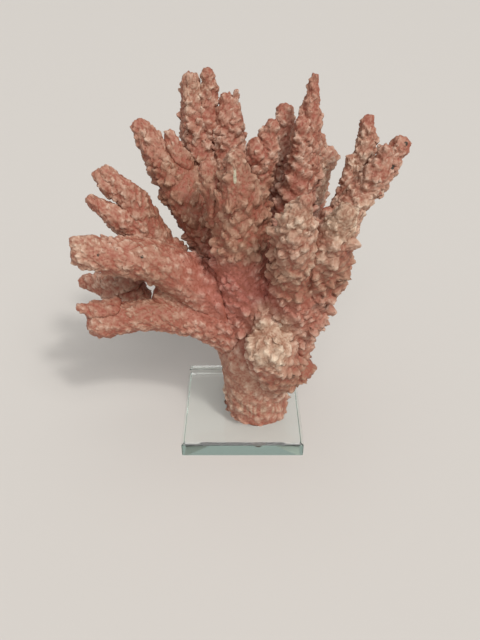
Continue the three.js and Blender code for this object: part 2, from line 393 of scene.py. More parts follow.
# The scratches round the foot, and the straight streak on the centre front limb
STEM_MIDDLE = (0.013, -0.006)
STRIPE_COUNT = 31
STRIPE_WANDER = 3
STRIPE_WANDER_COUNT = 7
STRIPE_Z = 0.036
STRIPE_REACH = 0.009
STRIPE_STRENGTH = 0.8
STREAK_ENDS = [(-0.0052, -0.0315, 0.2350), (-0.0058, -0.0255, 0.2520)]
STREAK_REACH = 0.0015

# The numbers that each point of a skin carries for the material
SKIN_NUMBERS = ("knob", "bead", "grain", "crease", "rosy", "tan_and_shade", "cream_and_light", "dark", "streak")

# One run of random numbers, and the spheres along every shoot grown so far
random = np.random.default_rng(7)
grown_spheres = []


def knob_pitch(radius):
    """How far apart the knobs stand on a limb of this radius."""
    return np.minimum(KNOB_PITCH_BASE + KNOB_PITCH_PER_RADIUS * radius, KNOB_PITCH_LIMIT)


def knob_height(radius):
    """How high an ordinary knob is on a limb of this radius."""
    return np.minimum(KNOB_HEIGHT * knob_pitch(radius), KNOB_HEIGHT_PER_RADIUS * radius)


def spine_of(shoot, step):
    """Points (x, y, z, radius) an even way apart along the curve through the shoot's points. The
    curve between two points is the cubic whose slope at each is half the step between the points
    before and after it."""
    knots = np.array(shoot, float)
    knots = np.vstack([2 * knots[0] - knots[1], knots, 2 * knots[-1] - knots[-2]])
    t = np.linspace(0, 1, PATH_STEPS, endpoint=False)[:, None]
    a, b, c, d = (knots[i : len(knots) - 3 + i, None] for i in range(4))
    bend = (2 * a - 5 * b + 4 * c - d) * t**2 + (3 * b - a - 3 * c + d) * t**3
    curve = b + ((c - a) * t + bend) / 2
    curve = np.vstack([curve.reshape(-1, 4), knots[-2]])
    gone = np.linalg.norm(np.diff(curve[:, :3], axis=0), axis=1).cumsum()
    gone = np.concatenate([[0], gone])
    even = np.linspace(0, gone[-1], max(3, round(gone[-1] / step)))
    return np.stack([np.interp(even, gone, curve[:, k]) for k in range(4)], -1), even


def unit(vectors):
    """Each vector over its own length."""
    return vectors / np.maximum(np.linalg.norm(vectors, axis=-1, keepdims=True), 1e-12)


def smooth_tube(shoot):
    """A tube round the shoot's spine with a flat-domed root and a round tip, part of a knob's
    height thinner than the shoot. A row stands at each step along the spine, and at each step of the
    domes' angle: middle + radius times (cos, sin) of the turn round the spine. Gives the points,
    the outward directions, and for each row the spine's direction, the way gone and the radius."""
    spine, gone = spine_of(shoot, GRID_STEP)
    spine[:, 3] -= knob_height(spine[:, 3]) * KNOB_SINK + SKIN_LOSS
    along = unit(np.gradient(spine[:, :3], axis=0))
    first, last = spine[0, 3], spine[-1, 3]
    root_rows = max(FEWEST_DOME_ROWS, round(DOME_FINENESS * first / GRID_STEP))
    tip_rows = max(FEWEST_DOME_ROWS, round(DOME_FINENESS * last / GRID_STEP))
    root_angle = np.linspace(-math.pi / 2, 0, root_rows + 1)[1:-1]
    tip_angle = np.linspace(0, math.pi / 2, tip_rows + 1)[1:-1]
    angle = np.concatenate([root_angle, 0 * gone, tip_angle])
    at = np.clip(np.arange(len(angle)) - len(root_angle), 0, len(gone) - 1)
    dome = np.where(angle < 0, first * ROOT_FLATNESS, last) * np.sin(angle)
    middle = spine[at, :3] + along[at] * dome[:, None]
    columns = max(FEWEST_COLUMNS, 2 * round(math.pi * spine[:, 3].max() / GRID_STEP))
    across = unit(np.cross(along[at], (0.0, 1.0, 0.0)))
    up = np.cross(along[at], across)
    turn = np.arange(columns) * 2 * math.pi / columns
    radial = across[:, None] * np.cos(turn)[:, None] + up[:, None] * np.sin(turn)[:, None]
    tilt = angle[:, None, None]
    outward = unit(radial * np.cos(tilt) + along[at, None] * np.sin(tilt))
    radius = spine[at, 3] * np.cos(angle)
    points = middle[:, None] + radial * radius[:, None, None]
    return points, outward, along[at], gone[at] + dome, np.maximum(radius, LEAST_RADIUS)


def room_to(points, spheres):
    """How far each point is outside the nearest of the spheres (x, y, z, radius)."""
    flat = points.reshape(-1, 3)
    room = np.empty(len(flat))
    for block in np.array_split(np.arange(len(flat)), len(flat) // POINTS_A_BLOCK + 1):
        here = flat[block]
        squares = (here**2).sum(1)[:, None] + (spheres[:, :3] ** 2).sum(1)
        squares -= 2 * here @ spheres[:, :3].T
        room[block] = (np.sqrt(np.maximum(squares, 0)) - spheres[:, 3]).min(1)
    return room.reshape(points.shape[:-1])


def blend_into(points, outward, spheres, gone, radius, fillet):
    """Swells a tube where it grows from what is there already. Each point goes outward until the
    smooth minimum of its way out of the tube and its way out of the spheres is nought:
    -b log(exp(-tube / b) + exp(-spheres / b)). This is times `fillet`, and fades out a few radii
    from the root. What is inside the spheres stays there. Gives the points, and how far each is
    outside the spheres."""
    out = np.zeros(points.shape[:-1])
    bare = np.clip(1 + room_to(points, spheres) / BLEND_ROOT, 0, 1)
    for _ in range(BLEND_ROUNDS):
        room = room_to(points + outward * (out * bare)[..., None], spheres)
        room_share = np.exp(-np.maximum(room, BLEND_DEEPEST) / BLEND)
        out += BLEND * np.log(np.exp(-out / BLEND) + room_share)
        out = np.clip(out, 0, BLEND_LIMIT)
    fade = (BLEND_FADE_END - gone / radius.max()) / (BLEND_FADE_END - BLEND_FADE_START)
    fade = np.clip(fade, 0, 1)
    return points + outward * (out * bare * fade[:, None] * fillet)[..., None], room


def scatter(cells, seed):
    """Three even random numbers from 0 to 1 for each whole-numbered cell: the fractions of large
    sines."""
    wave = np.sin(cells @ SCATTER_TURNS + seed) * SCATTER_SIZE
    return wave - np.floor(wave)


def cell_distance(points, size, seed):
    """The distance from each point to the nearest of one random spot in every cube of a lattice, as
    a share of the cube's side."""
    scaled = points / size
    home = np.floor(scaled)
    nearest = np.full(len(points), np.inf)
    for step in itertools.product((-1, 0, 1), repeat=3):
        cell = home + np.array(step)
        nearest = np.minimum(nearest, ((scaled - cell - scatter(cell, seed)) ** 2).sum(-1))
    return np.sqrt(nearest)


def swell_at(points):
    """A slow rise and fall of the skin: half the sine of a slow wave bent by a slower one, 0.3 of the
    sine of both, and half the sine of a quick wave bent by the slow one."""
    slow = points @ SWELL_SLOW
    slower = points @ SWELL_SLOWER
    quick = points @ SWELL_QUICK
    lumps = np.sin(slow + 2 * np.sin(slower)) * 0.5 + np.sin(2.3 * slower + slow) * 0.3
    return lumps + np.sin(quick + 2 * np.sin(3 * slow)) * 0.5


def patches_at(points, patches):
    """How much each place is in the strongest of some round patches (x, y, z, reach, strength):
    strength times exp(-(d / reach)^2)."""
    most = np.zeros(points.shape[:-1])
    for x, y, z, reach, strength in patches:
        squares = ((points - np.array([x, y, z])) ** 2).sum(-1)
        most = np.maximum(most, strength * np.exp(-squares / reach**2))
    return most


def foot_stripes(points):
    """Pale upright scratches round the stem's foot: a wandering sine of the turn round the stem,
    where it is above nought, times exp(-((z - height) / reach)^2)."""
    turn = np.arctan2(points[:, 1] - STEM_MIDDLE[1], points[:, 0] - STEM_MIDDLE[0])
    wander = STRIPE_WANDER * np.sin(STRIPE_WANDER_COUNT * turn)
    stripe = np.maximum(np.sin(STRIPE_COUNT * turn + wander), 0)
    return STRIPE_STRENGTH * stripe * np.exp(-(((points[:, 2] - STRIPE_Z) / STRIPE_REACH) ** 2))


def streak_at(points):
    """How near each place is to the straight streak: exp(-(d / reach)^2) of the way to it."""
    start, end = (np.array(point) for point in STREAK_ENDS)
    along = np.clip((points - start) @ (end - start) / ((end - start) @ (end - start)), 0, 1)
    squares = ((points - start - along[:, None] * (end - start)) ** 2).sum(-1)
    return np.exp(-squares / STREAK_REACH**2)


def surface_normals(points, outward):
    """The unit cross product of the steps along and round the grid, on the outward side."""
    along = np.gradient(points, axis=0)
    around = np.roll(points, -1, axis=1) - np.roll(points, 1, axis=1)
    normal = unit(np.cross(around, along))
    return normal * np.where((normal * outward).sum(-1, keepdims=True) < 0, -1, 1)


def plant(skin, room, pitch, width, height, lean, tilt, share):
    """Knobs in a spiral round the shoot, each the golden angle on from the last. The step along
    the spine is the packing times the square of the pitch over the girth, so they stand evenly
    spread. A share of them grows, where nothing covers the skin. Each has a place, a leaning
    direction, a width and a height, and the height is less in the calm patches."""
    points, normals, along, gone, radius = skin
    rate = 2 * math.pi * radius / (PACKING * pitch**2)
    passed = np.concatenate([[0], np.cumsum(np.diff(gone) * (rate[1:] + rate[:-1]) / 2)])
    order = np.arange(int(passed[-1])) + 0.5
    row = np.searchsorted(passed, order + random.normal(0, PACKING_ROWS_OFF, len(order)))
    row = np.clip(row, 0, len(gone) - 1)
    turn_off = random.normal(0, PACKING_TURN_OFF, len(order))
    turn = order * GOLDEN_ANGLE + turn_off * pitch[row] / radius[row]
    column = np.round(turn / (2 * math.pi) * points.shape[1]).astype(int) % points.shape[1]
    keep = (room[row, column] > DEEPEST_KNOB) & (random.random(len(order)) < share)
    row, column = row[keep], column[keep]
    place = points[row, column]
    scale = random.uniform(*KNOB_SCALES, len(row))
    direction = normals[row, column] + along[row] * lean + random.normal(0, tilt, (len(row), 3))
    spread = KNOB_RISE_SPREAD * random.random(len(row)) ** KNOB_RISE_POWER
    rise = scale * height[row] * (KNOB_LEAST_RISE + spread)
    calm = 1 - CALMING * patches_at(place, CALM_PATCHES)
    return np.column_stack([place, unit(direction), scale * pitch[row] * width, rise * calm])


def raise_knobs(points, knobs, roundness):
    """Each point goes out along the lean of the knob that lifts it most, by that knob's height
    times (1 - (d / width)^2)^roundness, where d is the way to the knob's place. That way is taken
    from a place stirred by small sines of sines, so the knobs aren't round. Gives the points, and
    how far up a knob each stands: 0 beside it, 1 on top, and less where the knob is low."""
    lifted = points.copy()
    relief = np.zeros(len(points))
    wander = 2 * np.sin(points[:, [2, 0, 1]] * WARP_WANDER)
    warped = points + KNOB_WARP * np.sin(points[:, [1, 2, 0]] * WARP_WAVES + wander)
    reach = knobs[:, 6].max()
    full_height = np.median(knobs[:, 7]) * FULL_KNOB
    for block in np.array_split(np.arange(len(points)), len(points) // POINTS_A_BLOCK + 1):
        here = warped[block]
        inside = (knobs[:, :3] > here.min(0) - reach) & (knobs[:, :3] < here.max(0) + reach)
        near = knobs[inside.all(1)]
        if len(near) == 0:
            continue
        squares = ((here[:, None] - near[None, :, :3]) ** 2).sum(-1)
        fall = np.maximum(1 - squares / near[:, 6] ** 2, 0) ** roundness
        lift = fall * near[:, 7]
        best = lift.argmax(1)
        every = np.arange(len(here))
        lifted[block] += lift[every, best, None] * near[best, 3:6]
        relief[block] = fall[every, best] * np.minimum(near[best, 7] / full_height, 1)
    return lifted, relief


def add_number(piece, name, values):
    """Stores one number a point on the piece, for its material to read."""
    numbers = piece.data.attributes.new(name, "FLOAT", "POINT").data
    numbers.foreach_set("value", values.astype(np.float32))


def grow_shoot(shoot, knob_size, fillet, creased):
    """One shoot's skin: the tube, blended into what it grows from, swollen, then knobbed, beaded
    and grained. The skin stays inside the solids' box, and what would reach below the foot's level
    is pressed into a thin layer in the glue: the way down w becomes s (1 - exp(-w / s)). Gives its
    points, triangles and the numbers that the material reads."""
    points, outward, along, gone, radius = smooth_tube(shoot)
    room = np.full(points.shape[:2], 1.0)
    if grown_spheres:
        before = np.vstack(grown_spheres)
        points, room = blend_into(points, outward, before, gone, radius, fillet)
    points = points + outward * (SWELL * swell_at(points))[..., None]
    shape = points.shape
    skin = (points, surface_normals(points, outward), along, gone, radius)
    pitch = knob_pitch(radius) * knob_size
    height = knob_height(radius) * knob_size
    knobs = plant(skin, room, pitch, KNOB_WIDTH, height, KNOB_LEAN, KNOB_TILT, KNOB_SHARE)
    knobbed, knob_relief = raise_knobs(points.reshape(-1, 3), knobs, KNOB_ROUNDNESS)
    knobbed = knobbed.reshape(shape)
    normals = surface_normals(knobbed, outward)
    skin = (knobbed, normals, along, gone, radius)
    even = np.ones(len(radius))
    pitch, height = even * BEAD_PITCH, even * BEAD_HEIGHT
    beads = plant(skin, room, pitch, BEAD_WIDTH, height, BEAD_LEAN, BEAD_TILT, BEAD_SHARE)
    beaded, bead_relief = raise_knobs(knobbed.reshape(-1, 3), beads, BEAD_ROUNDNESS)
    grain = cell_distance(beaded, GRAIN_SIZE, GRAIN_SEED)
    grained = beaded + normals.reshape(-1, 3) * (GRAIN_HEIGHT * (0.5 - grain**2))[:, None]
    grained = np.clip(grained, SKIN_LOW, SKIN_HIGH)
    below = np.minimum(grained[:, 2] - FOOT_LEVEL, 0)
    grained[:, 2] += FOOT_SINK * (np.exp(below / FOOT_SINK) - 1) - below
    rows = grained.reshape(shape)
    ends = rows[0].mean(0), rows[-1].mean(0)

    def with_ends(values):
        """The values, with the first and the last once more for the two end points."""
        return np.concatenate([values[:1], values, values[-1:]])

    # Painted shade along the crease where the shoot meets what it grows from
    crease = creased * np.exp(-np.maximum(room.ravel(), 0) / CREASE_REACH)
    rosy = patches_at(grained, ROSY_PATCHES)
    # Browner and darker: partly the skin's own tone, partly painted shade
    tan_and_shade = patches_at(grained, TAN_AND_SHADE_PATCHES)
    # Pale: partly bleached skin and the foot's scratches, partly painted light on shaded limbs
    cream_and_light = patches_at(grained, CREAM_AND_LIGHT_PATCHES) + foot_stripes(grained)
    streak = streak_at(grained)
    # Sooty marks, and painted shade in the crease under the front knob
    dark = patches_at(grained, DARK_SPOTS)
    grown_spheres.append(spine_of(shoot, SPINE_STEP)[0])
    return (
        np.vstack([ends[0], grained, ends[1]]),
        closed_rings(*shape[:2]),
        [
            with_ends(values)
            for values in (knob_relief, bead_relief, grain, crease, rosy, tan_and_shade, cream_and_light, dark, streak)
        ],
    )


def grow_limb(name, node, shoots, knob_size=1.0, fillet=1.0):
    """A limb of one or more shoots as one piece, with painted shade darkening its root where the
    first of them leaves the coral. `knob_size` is how big its knobs are beside the other limbs', and
    `fillet` how full the web at its root is."""
    parts = [grow_shoot(shoot, knob_size, fillet, shoot is shoots[0]) for shoot in shoots]
    starts = np.cumsum([0] + [len(part[0]) for part in parts[:-1]])
    faces = np.vstack([part[1] + start for part, start in zip(parts, starts)])
    piece = add_mesh(name, np.vstack([part[0] for part in parts]), faces)
    for label, *numbers in zip(SKIN_NUMBERS, *(part[2] for part in parts)):
        add_number(piece, label, np.concatenate(numbers))
    piece.data.materials.append(coral_skin)
    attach(piece, "root")
    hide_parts(node)


# The skin's colours. The crevice ones are painted shade deep between the knobs, and the top ones
# are painted highlights on the knobs' tops.
CREVICE_SHADE_COLOUR = (0.295, 0.086, 0.054, 1)
FLESH_COLOUR = (0.385, 0.184, 0.126, 1)
ROSY_COLOUR = (0.380, 0.122, 0.092, 1)
TOP_HIGHLIGHT_COLOUR = (0.570, 0.400, 0.310, 1)
ROSY_TOP_HIGHLIGHT_COLOUR = (0.500, 0.260, 0.208, 1)
TAN_AND_SHADE_COLOUR = (0.300, 0.136, 0.086, 1)
TAN_AND_SHADE_TOP_COLOUR = (0.440, 0.275, 0.190, 1)
CREAM_AND_LIGHT_TOP_COLOUR = (0.760, 0.620, 0.480, 1)
CREAM_AND_LIGHT_FLESH_COLOUR = (0.500, 0.340, 0.245, 1)
CREAM_CREVICE_SHADE_COLOUR = (0.310, 0.155, 0.098, 1)
SOOT_AND_SHADE_COLOUR = (0.045, 0.035, 0.025, 1)
STREAK_COLOUR = (0.470, 0.435, 0.320, 1)

# How high each kind of relief counts for the colour: where it is low the skin gets the painted
# shade of the crevices, where it is high the painted highlight of the tops
KNOB_SHADE = 0.52
BEAD_SHADE = 0.24
GRAIN_SHADE = -0.20
CRUMB_SHADE = 0.28
GRAIN_STEP = (0.15, 0.85)

# From where to where each colour comes in, and how dark the painted shade in the creases and the
# pores is
CREVICE_SHADE_STEP = (-0.16, 0.24)
TOP_HIGHLIGHT_STEP = (0.16, 0.80)
ROSY_STEP = (0.25, 1.1)
CREAM_AND_LIGHT_STEP = (0.35, 1.2)
TAN_AND_SHADE_STEP = (0.35, 0.9)
CREASE_STEP = (0.2, 0.9)
STREAK_STEP = (0.45, 0.75)
SOOT_AND_SHADE_STEP = (0.3, 0.6)
PORE_STEP = (0.42, 0.30)
PAINTED_CREASE_SHADE = 0.5
PAINTED_PORE_SHADE = 0.4

# Mottling: waves to the metre, detail and strength
ROSY_MOTTLE = (35, 2, 0.4)
CREAM_AND_LIGHT_MOTTLE = (90, 3, 0.5)
TAN_AND_SHADE_MOTTLE = (60, 2, 0.4)
PORE_MOTTLE = (120, 1, 0.5)

# Pores, crumbs and gloss
PORE_CELLS = 300
CRUMB_WAVES = 700
CRUMB_DETAIL = 4
CRUMB_CELLS = 560
CRUMB_CELL_DEPTH = 0.5
SKIN_ROUGHNESS = 0.6
SKIN_GLOSS = 0.4
CRUMB_STRENGTH = 0.8
CRUMB_DEPTH = 0.0007


def coral_skin_material():
    """Lime skin in pinks: dark red between the knobs, which is painted shade, salmon on their flanks
    and pale on their tops, which is painted highlight. It is rosier toward the coral's middle. Some
    faces are browner and darker, partly their own tone and partly painted shade where they lie in
    shade, and others are bleached to a pale buff, partly their own bleaching and partly painted
    light on shaded limbs. The creases where shoots leave are darkened with painted shade. It has one
    straight grey streak and a few sooty spots, two of them painted shade in the crease under the
    front knob. Fine pores, darkened with painted shade, and crumbs mottle it and roughen it."""
    material = bpy.data.materials.new("coral_skin")
    material.use_nodes = True
    nodes, links = material.node_tree.nodes, material.node_tree.links

    def feed(socket, value):
        """Sets a plain value on the socket, or links another node's to it."""
        if isinstance(value, (int, float, tuple)):
            socket.default_value = value
        else:
            links.new(value, socket)

    def read(name):
        """One of the numbers that the skin's points carry."""
        node = nodes.new("ShaderNodeAttribute")
        node.attribute_name = name
        return node.outputs["Fac"]

    def between(value, step):
        """0 at the first end of `step`, 1 at the other and a smooth step between."""
        node = nodes.new("ShaderNodeMapRange")
        node.interpolation_type = "SMOOTHSTEP"
        feed(node.inputs["Value"], value)
        feed(node.inputs["From Min"], step[0])
        feed(node.inputs["From Max"], step[1])
        return node.outputs["Result"]

    def mix(amount, under, over):
        """Under where the amount is 0, over where it is 1."""
        node = nodes.new("ShaderNodeMix")
        node.data_type = "RGBA"
        feed(node.inputs["Factor"], amount)
        feed(node.inputs[6], under)
        feed(node.inputs[7], over)
        return node.outputs[2]

    def maths(kind, first, second):
        """The sum, difference or product of two values."""
        node = nodes.new("ShaderNodeMath")
        node.operation = kind
        feed(node.inputs[0], first)
        feed(node.inputs[1], second)
        return node.outputs[0]

    place = nodes.new("ShaderNodeTexCoord").outputs["Object"]

    def noise(scale, detail):
        """Cloudy noise with so many waves to the metre."""
        node = nodes.new("ShaderNodeTexNoise")
        links.new(place, node.inputs["Vector"])
        node.inputs["Scale"].default_value = scale
        node.inputs["Detail"].default_value = detail
        return node.outputs["Fac"]

    def cells(scale):
        """How far each place is from the nearest of some random spots, so many to the metre."""
        node = nodes.new("ShaderNodeTexVoronoi")
        links.new(place, node.inputs["Vector"])
        node.inputs["Scale"].default_value = scale
        return node.outputs["Distance"]

    def mottled(value, mottle, step):
        """The value plus some noise, taken through the step."""
        waves, detail, strength = mottle
        return between(maths("ADD", value, maths("MULTIPLY", noise(waves, detail), strength)), step)

    crumbs = noise(CRUMB_WAVES, CRUMB_DETAIL)
    crumb_cells = maths("MULTIPLY", cells(CRUMB_CELLS), CRUMB_CELL_DEPTH)
    crumb_height = maths("SUBTRACT", crumbs, crumb_cells)
    pore = mottled(cells(PORE_CELLS), PORE_MOTTLE, PORE_STEP)
    grain = maths("MULTIPLY", between(read("grain"), GRAIN_STEP), GRAIN_SHADE)
    knobs = maths("MULTIPLY", read("knob"), KNOB_SHADE)
    beads = maths("MULTIPLY", read("bead"), BEAD_SHADE)
    height = maths("ADD", maths("ADD", knobs, beads), grain)
    height = maths("ADD", height, maths("MULTIPLY", crumb_height, CRUMB_SHADE))
    rosy = mottled(read("rosy"), ROSY_MOTTLE, ROSY_STEP)
    # Pale: partly bleached skin and scratches, partly painted light on shaded limbs
    cream_and_light = mottled(read("cream_and_light"), CREAM_AND_LIGHT_MOTTLE, CREAM_AND_LIGHT_STEP)
    # Browner and darker: partly the skin's own tone, partly painted shade
    tan_and_shade = mottled(read("tan_and_shade"), TAN_AND_SHADE_MOTTLE, TAN_AND_SHADE_STEP)
    flesh = mix(tan_and_shade, mix(rosy, FLESH_COLOUR, ROSY_COLOUR), TAN_AND_SHADE_COLOUR)
    flesh = mix(cream_and_light, flesh, CREAM_AND_LIGHT_FLESH_COLOUR)
    top = mix(tan_and_shade, mix(rosy, TOP_HIGHLIGHT_COLOUR, ROSY_TOP_HIGHLIGHT_COLOUR), TAN_AND_SHADE_TOP_COLOUR)
    top = mix(cream_and_light, top, CREAM_AND_LIGHT_TOP_COLOUR)
    # Painted shade deep between the knobs, and painted highlight on their tops
    crevice_shade = mix(cream_and_light, CREVICE_SHADE_COLOUR, CREAM_CREVICE_SHADE_COLOUR)
    colour = mix(between(height, CREVICE_SHADE_STEP), crevice_shade, flesh)
    colour = mix(between(height, TOP_HIGHLIGHT_STEP), colour, top)
    # Painted shade: the crease where a shoot leaves the coral is darkened toward the crevices' colour
    crease = between(read("crease"), CREASE_STEP)
    colour = mix(maths("MULTIPLY", crease, PAINTED_CREASE_SHADE), colour, crevice_shade)
    colour = mix(between(read("streak"), STREAK_STEP), colour, STREAK_COLOUR)
    # Painted shade in the pits of the pores
    colour = mix(maths("MULTIPLY", pore, PAINTED_PORE_SHADE), colour, crevice_shade)
    # Sooty dark marks, and painted shade in the crease under the front knob
    colour = mix(between(read("dark"), SOOT_AND_SHADE_STEP), colour, SOOT_AND_SHADE_COLOUR)
    surface = nodes["Principled BSDF"]
    links.new(colour, surface.inputs["Base Color"])
    surface.inputs["Roughness"].default_value = SKIN_ROUGHNESS
    surface.inputs["Specular IOR Level"].default_value = SKIN_GLOSS
    bump = nodes.new("ShaderNodeBump")
    bump.inputs["Strength"].default_value = CRUMB_STRENGTH
    bump.inputs["Distance"].default_value = CRUMB_DEPTH
    links.new(maths("SUBTRACT", crumb_height, pore), bump.inputs["Height"])
    links.new(bump.outputs[0], surface.inputs["Normal"])
    return material


coral_skin = coral_skin_material()
grow_limb("stem", "coral_stem", STEM_SHOOTS)


# Front knob
# A round lump of the same lime low on the stem's front, with a blunt peak and a lower bulge to its
# right. It grew from the stem with hardly a web, and its top is bleached to cream.
KNOB_FRONT_FILLET = 0.1
KNOB_FRONT_SHOOTS = [
    [(0.029, -0.02, 0.069, 0.02), (0.025, -0.032, 0.09, 0.021), (0.019, -0.04, 0.112, 0.018)],
    [(0.02, -0.032, 0.112, 0.015), (0.017, -0.031, 0.135, 0.01)],
    [(0.034, -0.024, 0.073, 0.017), (0.045, -0.028, 0.079, 0.012)],
]
grow_limb(
    "knob_front",
    "coral_knob_front",
    KNOB_FRONT_SHOOTS,
    fillet=KNOB_FRONT_FILLET,
)


# Right main limb
# The thickest limb of the coral, grown up and to the right from the stem as one lump of lime.
# It carries the front, stub, outer and upper right limbs.
LIMB_RIGHT_MAIN_SHOOTS = [
    [
        (0.02, -0.01, 0.058, 0.021), (0.031, -0.015, 0.098, 0.023), (0.042, -0.02, 0.14, 0.024),
        (0.05, -0.022, 0.166, 0.019),
    ],
]
grow_limb("limb_right_main", "coral_limb_right_main", LIMB_RIGHT_MAIN_SHOOTS)


# Centre front limb
# A thick upright limb of lime that grew from the stem's top, with a short twig on its left. A pale
# straight streak marks the upper part of its front.
LIMB_CENTRE_FRONT_SHOOTS = [
    [
        (0.002, -0.006, 0.118, 0.022), (0.0, -0.014, 0.165, 0.022), (-0.003, -0.019, 0.215, 0.017),
        (-0.005, -0.024, 0.248, 0.006),
    ],
    [(-0.01, -0.015, 0.2, 0.012), (-0.024, -0.01, 0.236, 0.006)],
]
grow_limb("limb_centre_front", "coral_limb_centre_front", LIMB_CENTRE_FRONT_SHOOTS)


# Left limbs
# Four limbs of lime that grew out from the stem's left, one over another: middle, low, upper and
# rear. The first three have forked ends and a calmer skin with smaller knobs.
LEFT_KNOB_SIZE = 0.85
LIMB_LEFT_MIDDLE_SHOOTS = [
    [
        (-0.008, -0.003, 0.118, 0.02), (-0.046, -0.014, 0.157, 0.018),
        (-0.066, -0.021, 0.172, 0.0155), (-0.088, -0.028, 0.18, 0.014),
        (-0.107, -0.034, 0.186, 0.01),
    ],
    [(-0.09, -0.03, 0.184, 0.009), (-0.112, -0.034, 0.194, 0.004)],
]
grow_limb(
    "limb_left_middle",
    "coral_limb_left_middle",
    LIMB_LEFT_MIDDLE_SHOOTS,
    knob_size=LEFT_KNOB_SIZE,
)

LIMB_LEFT_LOW_SHOOTS = [
    [
        (-0.003, -0.007, 0.1, 0.019), (-0.033, -0.016, 0.117, 0.015),
        (-0.07, -0.022, 0.126, 0.013), (-0.105, -0.028, 0.124, 0.013),
    ],
    [(-0.095, -0.026, 0.132, 0.008), (-0.119, -0.03, 0.139, 0.004)],
    [(-0.008, -0.005, 0.11, 0.016), (-0.036, -0.01, 0.128, 0.014), (-0.06, -0.014, 0.137, 0.0095)],
]
grow_limb(
    "limb_left_low",
    "coral_limb_left_low",
    LIMB_LEFT_LOW_SHOOTS,
    knob_size=LEFT_KNOB_SIZE,
)

LIMB_LEFT_UPPER_SHOOTS = [
    [
        (-0.018, 0.005, 0.12, 0.015), (-0.049, 0.008, 0.146, 0.012), (-0.067, 0.008, 0.177, 0.014),
        (-0.08, 0.008, 0.206, 0.011), (-0.095, 0.008, 0.226, 0.006),
    ],
    [(-0.086, 0.008, 0.214, 0.008), (-0.101, 0.008, 0.225, 0.004)],
    [(-0.056, 0.008, 0.16, 0.013), (-0.083, 0.002, 0.19, 0.011), (-0.105, -0.002, 0.209, 0.005)],
]
grow_limb(
    "limb_left_upper",
    "coral_limb_left_upper",
    LIMB_LEFT_UPPER_SHOOTS,
    knob_size=LEFT_KNOB_SIZE,
)

LIMB_LEFT_REAR_SHOOTS = [
    [
        (-0.054, -0.004, 0.152, 0.012), (-0.075, 0.002, 0.156, 0.0095),
        (-0.094, 0.014, 0.134, 0.012), (-0.108, 0.022, 0.125, 0.012), (-0.13, 0.026, 0.127, 0.006),
    ],
    [(-0.094, 0.014, 0.131, 0.01), (-0.0825, 0.013, 0.1205, 0.0085)],
]
grow_limb("limb_left_rear", "coral_limb_left_rear", LIMB_LEFT_REAR_SHOOTS)


# Inner left limb
# A forked limb of lime between the left limbs and the tall back ones. It grew from the back of the
# stem's top and leans out to the left.
LIMB_INNER_LEFT_SHOOTS = [
    [
        (-0.004, 0.011, 0.12, 0.015), (-0.022, 0.02, 0.163, 0.015), (-0.039, 0.026, 0.196, 0.017),
        (-0.057, 0.034, 0.222, 0.013), (-0.074, 0.038, 0.248, 0.006),
    ],
    [(-0.043, 0.031, 0.205, 0.012), (-0.05, 0.036, 0.234, 0.007), (-0.053, 0.038, 0.242, 0.005)],
]
grow_limb("limb_inner_left", "coral_limb_inner_left", LIMB_INNER_LEFT_SHOOTS)


# Right limbs
# Four limbs of lime that grew from the right main limb: two to the front whose caps are bleached to
# cream, the outer one with a twig and sooty spots, and the upper one behind it.
LIMB_RIGHT_FRONT_SHOOTS = [
    [
        (0.038, -0.026, 0.14, 0.018), (0.033, -0.045, 0.188, 0.015), (0.032, -0.056, 0.218, 0.012),
        (0.036, -0.062, 0.236, 0.004),
    ],
]
grow_limb("limb_right_front", "coral_limb_right_front", LIMB_RIGHT_FRONT_SHOOTS)

LIMB_RIGHT_STUB_SHOOTS = [
    [(0.05, -0.025, 0.158, 0.019), (0.057, -0.042, 0.197, 0.015), (0.062, -0.054, 0.224, 0.007)],
    [(0.058, -0.021, 0.18, 0.008), (0.057, -0.02, 0.209, 0.004)],
]
grow_limb("limb_right_stub", "coral_limb_right_stub", LIMB_RIGHT_STUB_SHOOTS)

LIMB_RIGHT_OUTER_SHOOTS = [
    [
        (0.052, -0.012, 0.152, 0.019), (0.075, 0.006, 0.194, 0.012), (0.096, 0.016, 0.222, 0.01),
        (0.1105, 0.0215, 0.2395, 0.007),
    ],
    [(0.091, 0.013, 0.214, 0.009), (0.098, 0.012, 0.24, 0.005)],
]
grow_limb("limb_right_outer", "coral_limb_right_outer", LIMB_RIGHT_OUTER_SHOOTS)

LIMB_RIGHT_UPPER_SHOOTS = [
    [
        (0.06, 0.002, 0.158, 0.015), (0.08, 0.022, 0.204, 0.011), (0.087, 0.03, 0.234, 0.008),
        (0.088, 0.034, 0.254, 0.004),
    ],
    [(0.079, 0.023, 0.206, 0.007), (0.077, 0.026, 0.23, 0.003)],
]
grow_limb("limb_right_upper", "coral_limb_right_upper", LIMB_RIGHT_UPPER_SHOOTS)


# Centre right limb and tall limb
# Two slim limbs of lime right of the middle, each with a side twig. They grew close together from
# the stem's top, and the tall one ends in a thin spike.
LIMB_CENTRE_RIGHT_SHOOTS = [
    [
        (0.004, 0.0, 0.15, 0.012), (0.008, 0.008, 0.212, 0.012), (0.015, 0.012, 0.242, 0.009),
        (0.019, 0.012, 0.256, 0.005),
    ],
    [(0.011, 0.009, 0.228, 0.008), (0.008, 0.008, 0.246, 0.005)],
]
grow_limb("limb_centre_right", "coral_limb_centre_right", LIMB_CENTRE_RIGHT_SHOOTS)

LIMB_TALL_SHOOTS = [
    [
        (0.022, 0.012, 0.124, 0.016), (0.041, 0.03, 0.204, 0.014), (0.046, 0.034, 0.247, 0.009),
        (0.049, 0.038, 0.281, 0.003),
    ],
    [(0.039, 0.024, 0.2, 0.01), (0.041, 0.026, 0.253, 0.006)],
]
grow_limb("limb_tall", "coral_limb_tall", LIMB_TALL_SHOOTS)


